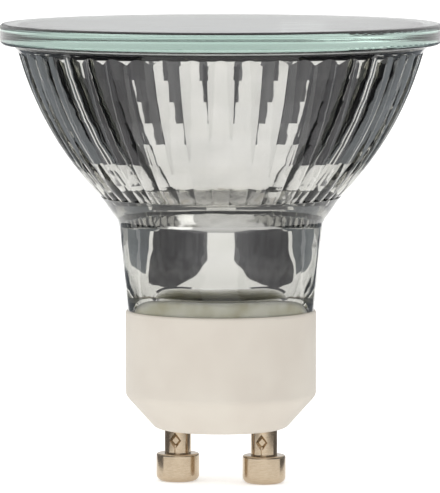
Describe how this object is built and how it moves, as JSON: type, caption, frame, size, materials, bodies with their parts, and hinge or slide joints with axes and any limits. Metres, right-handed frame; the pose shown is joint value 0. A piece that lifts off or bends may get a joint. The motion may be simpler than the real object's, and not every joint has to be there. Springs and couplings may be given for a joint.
{
  "type": "halogen reflector spotlight bulb",
  "caption": "Reflector spotlight bulb: ribbed glass bowl with a mirror lining, flat cover glass, quartz capsule, ceramic base and twist-and-lock contact pins.",
  "frame": {"origin": "on the lamp's axis, at the underside of the contact pins", "axes": "+Z along the lamp's axis towards the lit face, +X along the line through both contact pins"},
  "size_m": [0.05, 0.05, 0.0521],
  "materials": {
    "cover_glass": "clear pressed soda glass with a fire-polished edge",
    "seal_silicone": "thin translucent silicone bead",
    "reflector_glass": "clear pressed glass",
    "mirror_coating": "vacuum-deposited aluminium on the inside of the reflector",
    "quartz": "clear fused quartz",
    "tungsten": "drawn tungsten wire",
    "molybdenum": "bright rolled molybdenum",
    "lead_wire": "drawn nickel-plated wire",
    "lamp_cement": "cured matt lamp cement",
    "steatite": "unglazed pressed steatite, warm off-white",
    "pin_metal": "nickel-plated brass, worn warm at the edges"
  },
  "bodies": {
    "root": {"front_glass": "cover_glass", "front_seal": "seal_silicone", "reflector": "reflector_glass", "capsule_envelope": "quartz", "filament": "tungsten", "filament_hook": "molybdenum", "foil_left": "molybdenum", "foil_right": "molybdenum", "inner_lead_left": "lead_wire", "inner_lead_right": "lead_wire", "outer_lead_left": "lead_wire", "outer_lead_right": "lead_wire", "cement": "lamp_cement", "cement_key_front": "lamp_cement", "cement_key_back": "lamp_cement", "ceramic_base": "steatite", "contact_pin_left": "pin_metal", "contact_pin_right": "pin_metal"}
  },
  "joints": []
}
